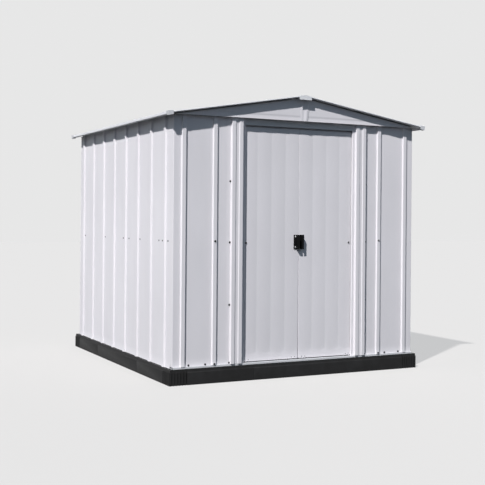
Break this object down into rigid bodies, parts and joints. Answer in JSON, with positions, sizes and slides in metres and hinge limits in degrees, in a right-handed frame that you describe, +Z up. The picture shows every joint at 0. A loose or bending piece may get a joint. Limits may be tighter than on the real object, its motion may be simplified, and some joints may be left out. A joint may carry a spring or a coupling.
{
  "type": "metal storage shed",
  "caption": "Small light grey steel garden shed with ribbed sheet walls, a low gable roof, two sliding doors hung from a header track, and a black plastic base frame.",
  "frame": {"origin": "on the ground, under the middle of the roof", "axes": "+Z up, the doors in the front wall face -Y, +X to the right seen from the front"},
  "size_m": [1.8652, 1.992, 1.7771],
  "materials": {
    "wall_paint": "satin",
    "door_paint": "satin",
    "roof_paint": "satin",
    "trim_paint": "satin",
    "frame_steel": "galvanised",
    "base_plastic": "matte",
    "handle_plastic": "satin"
  },
  "bodies": {
    "shed": {"base_corners": "base_plastic", "base_rail_front": "base_plastic", "base_rail_rear": "base_plastic", "base_rail_left": "base_plastic", "base_rail_right": "base_plastic", "floor_rail_front": "trim_paint", "floor_rails": "frame_steel", "left_wall_front_panel": "wall_paint", "left_wall_rear_panel": "wall_paint", "right_wall_front_panel": "wall_paint", "right_wall_rear_panel": "wall_paint", "rear_wall_left_panel": "wall_paint", "rear_wall_right_panel": "wall_paint", "front_wall_left_panel": "wall_paint", "front_wall_right_panel": "wall_paint", "door_jamb_left": "wall_paint", "door_jamb_right": "wall_paint", "door_header": "trim_paint", "top_rails": "frame_steel", "wall_braces": "frame_steel", "front_gable_left": "wall_paint", "front_gable_right": "wall_paint", "rear_gable_left": "wall_paint", "rear_gable_right": "wall_paint", "gable_splices": "wall_paint", "roof_panel_left_front": "roof_paint", "roof_panel_left_rear": "roof_paint", "roof_panel_right_front": "roof_paint", "roof_panel_right_rear": "roof_paint", "roof_beams": "frame_steel", "ridge_cap": "trim_paint", "eave_trim_left": "trim_paint", "eave_trim_right": "trim_paint", "front_roof_trim": "trim_paint", "rear_roof_trim": "trim_paint", "roof_corner_caps": "trim_paint"},
    "door_left": {"left_door": "door_paint", "left_door_hangers": "frame_steel", "left_door_guides": "handle_plastic", "left_door_handle": "handle_plastic"},
    "door_right": {"right_door": "door_paint", "right_door_hangers": "frame_steel", "right_door_guides": "handle_plastic", "right_door_handle": "handle_plastic"}
  },
  "joints": [
    {"name": "left_door_slide", "type": "slide", "parent": "shed", "child": "door_left", "axis": [-1, 0, 0], "range_m": [0, 0.34]},
    {"name": "right_door_slide", "type": "slide", "parent": "shed", "child": "door_right", "axis": [1, 0, 0], "range_m": [0, 0.34]}
  ]
}
